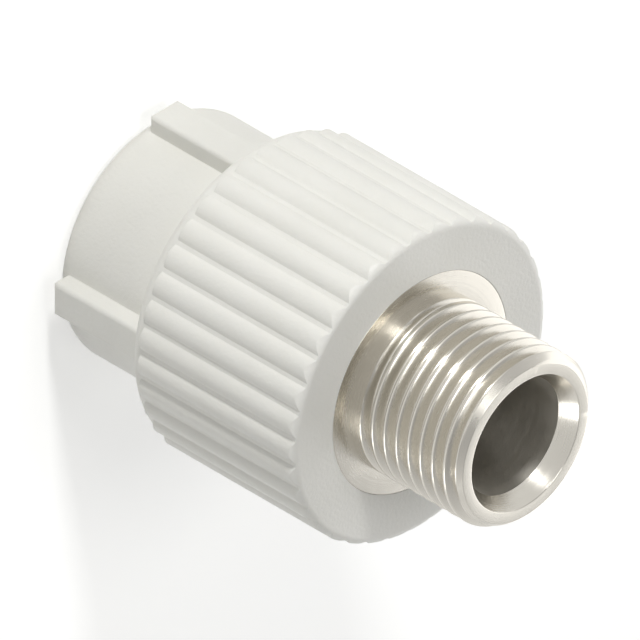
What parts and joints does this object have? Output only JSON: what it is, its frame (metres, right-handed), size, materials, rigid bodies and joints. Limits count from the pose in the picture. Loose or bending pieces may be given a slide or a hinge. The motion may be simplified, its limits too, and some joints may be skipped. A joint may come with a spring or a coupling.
{
  "type": "transition fitting",
  "caption": "Straight transition fitting: a plastic pipe socket with grip ribs and a ridged collar, moulded round a metal insert with a male pipe thread.",
  "frame": {"origin": "centre of the socket's end face, which the fitting stands on", "axes": "+Z along the fitting's axis, from the socket towards the male thread; +X through the middle of one grip rib"},
  "size_m": [0.0384, 0.0384, 0.0565],
  "materials": {
    "body_plastic": "white moulded polypropylene with a satin surface",
    "insert_metal": "turned brass, bright nickel plated"
  },
  "bodies": {
    "root": {"fitting_body": "body_plastic", "threaded_insert": "insert_metal"}
  },
  "joints": []
}
